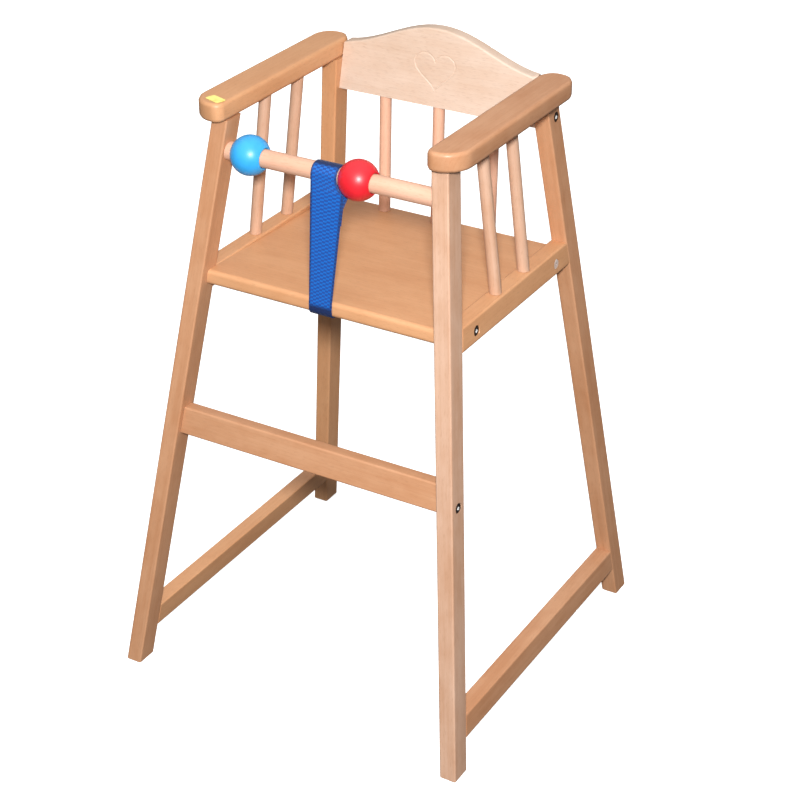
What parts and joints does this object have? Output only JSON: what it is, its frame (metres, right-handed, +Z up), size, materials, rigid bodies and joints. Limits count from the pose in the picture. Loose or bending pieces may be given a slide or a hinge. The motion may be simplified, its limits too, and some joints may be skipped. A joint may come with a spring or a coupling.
{
  "type": "baby high chair",
  "caption": "Splayed wooden high chair for a young child, with arms, a slatted back, a footrest bar, and a front bar that carries sliding play beads and a crotch strap.",
  "frame": {"origin": "the floor, under the middle of the whole chair's box", "axes": "+Z up; the chair faces -Y, so the seated child looks along -Y; +X is on the right of someone who faces the chair's front"},
  "size_m": [0.4916, 0.4845, 0.7825],
  "materials": {
    "frame_beech": "clear satin lacquer",
    "seat_beech": "clear satin lacquer",
    "pale_beech": "clear satin lacquer",
    "blue_lacquer": "gloss paint on wood",
    "red_lacquer": "gloss paint on wood",
    "blue_webbing": "woven, ribbed across",
    "bright_steel": "bright zinc",
    "yellow_paper": "matt paper"
  },
  "bodies": {
    "chair": {"armrest_left": "frame_beech", "armrest_right": "frame_beech", "back_board": "pale_beech", "back_spindle_left": "pale_beech", "back_spindle_middle": "pale_beech", "back_spindle_right": "pale_beech", "barrel_nut_back_left": "bright_steel", "barrel_nut_back_right": "bright_steel", "barrel_nut_footrest_left": "bright_steel", "barrel_nut_footrest_right": "bright_steel", "barrel_nut_seat_front_left": "bright_steel", "barrel_nut_seat_front_right": "bright_steel", "barrel_nut_seat_rear_left": "bright_steel", "barrel_nut_seat_rear_right": "bright_steel", "blank_label": "yellow_paper", "bolt_back_left": "bright_steel", "bolt_back_right": "bright_steel", "bolt_footrest_left": "bright_steel", "bolt_footrest_right": "bright_steel", "bolt_seat_front_left": "bright_steel", "bolt_seat_front_right": "bright_steel", "bolt_seat_rear_left": "bright_steel", "bolt_seat_rear_right": "bright_steel", "crotch_strap": "blue_webbing", "floor_stretcher_left": "frame_beech", "floor_stretcher_right": "frame_beech", "footrest_bar": "frame_beech", "front_bar": "pale_beech", "front_leg_left": "frame_beech", "front_leg_right": "frame_beech", "locating_pin_left": "pale_beech", "locating_pin_right": "pale_beech", "rear_leg_left": "frame_beech", "rear_leg_right": "frame_beech", "seat_board": "seat_beech", "seat_rail_left": "frame_beech", "seat_rail_right": "frame_beech", "side_spindle_front_left": "pale_beech", "side_spindle_front_right": "pale_beech", "side_spindle_rear_left": "pale_beech", "side_spindle_rear_right": "pale_beech", "strap_screw": "bright_steel", "strap_washer": "bright_steel"},
    "blue_bead": {"bead_blue": "blue_lacquer"},
    "red_bead": {"bead_red": "red_lacquer"}
  },
  "joints": [
    {"name": "blue_bead_slide", "type": "slide", "parent": "chair", "child": "blue_bead", "axis": [1, 0, 0], "range_m": [-0.0055, 0.062]},
    {"name": "red_bead_slide", "type": "slide", "parent": "chair", "child": "red_bead", "axis": [1, 0, 0], "range_m": [0, 0.076]}
  ]
}
